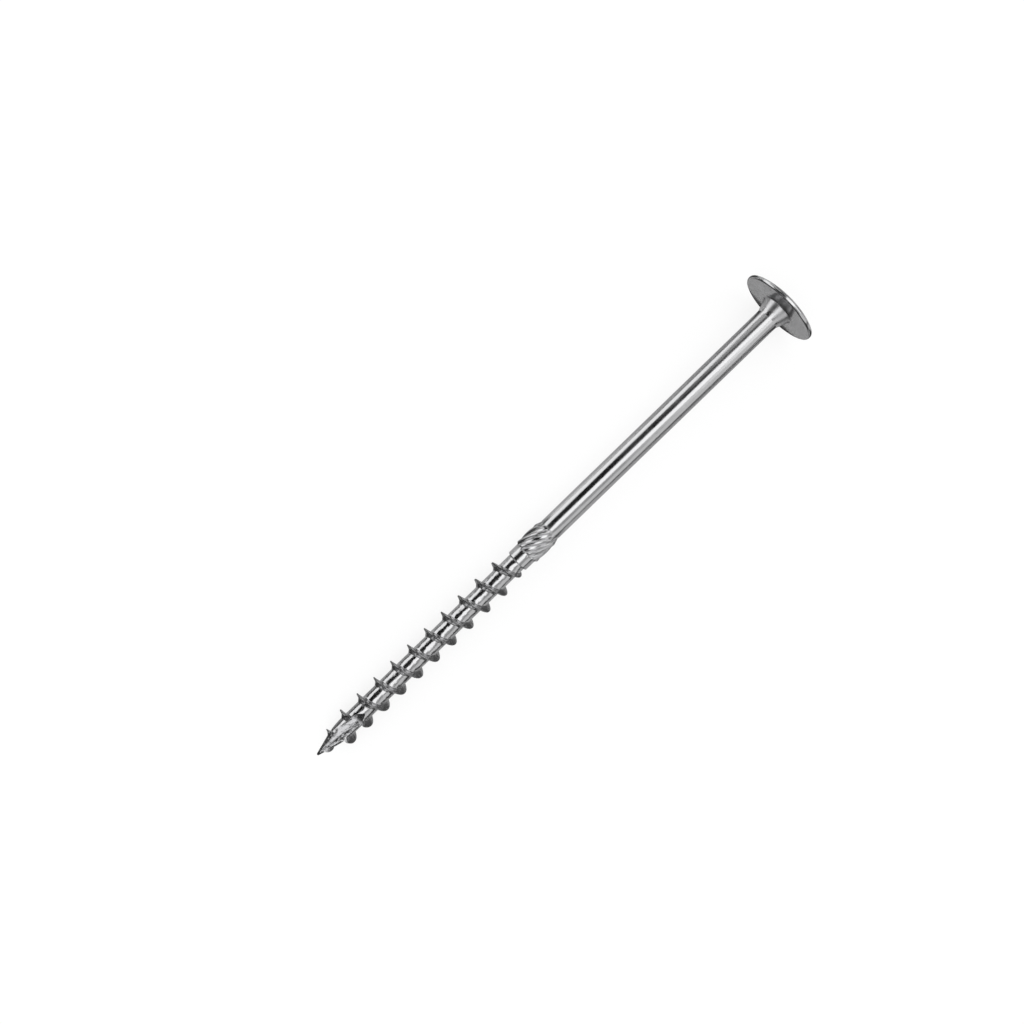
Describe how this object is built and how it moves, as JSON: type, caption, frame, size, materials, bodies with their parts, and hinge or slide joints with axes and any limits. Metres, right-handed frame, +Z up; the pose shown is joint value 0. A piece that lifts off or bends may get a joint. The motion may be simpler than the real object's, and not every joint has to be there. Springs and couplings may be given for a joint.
{
  "type": "washer-head timber screw",
  "caption": "Long timber screw with a wide washer head, lobed recess, plain shank, reaming ribs, coarse thread and notched point.",
  "frame": {"origin": "centre of the bottom of the bounding box of the screw as it lies, on the floor", "axes": "+X towards the head, +Z up; the screw's axis lies in the X-Z plane and rises towards the head by the angle at which it comes to rest"},
  "size_m": [0.1624, 0.021, 0.021],
  "materials": {
    "plated_steel": "bright zinc plating on rolled steel, semi-gloss, smooth on the shank"
  },
  "bodies": {
    "root": {"screw": "plated_steel"}
  },
  "joints": []
}
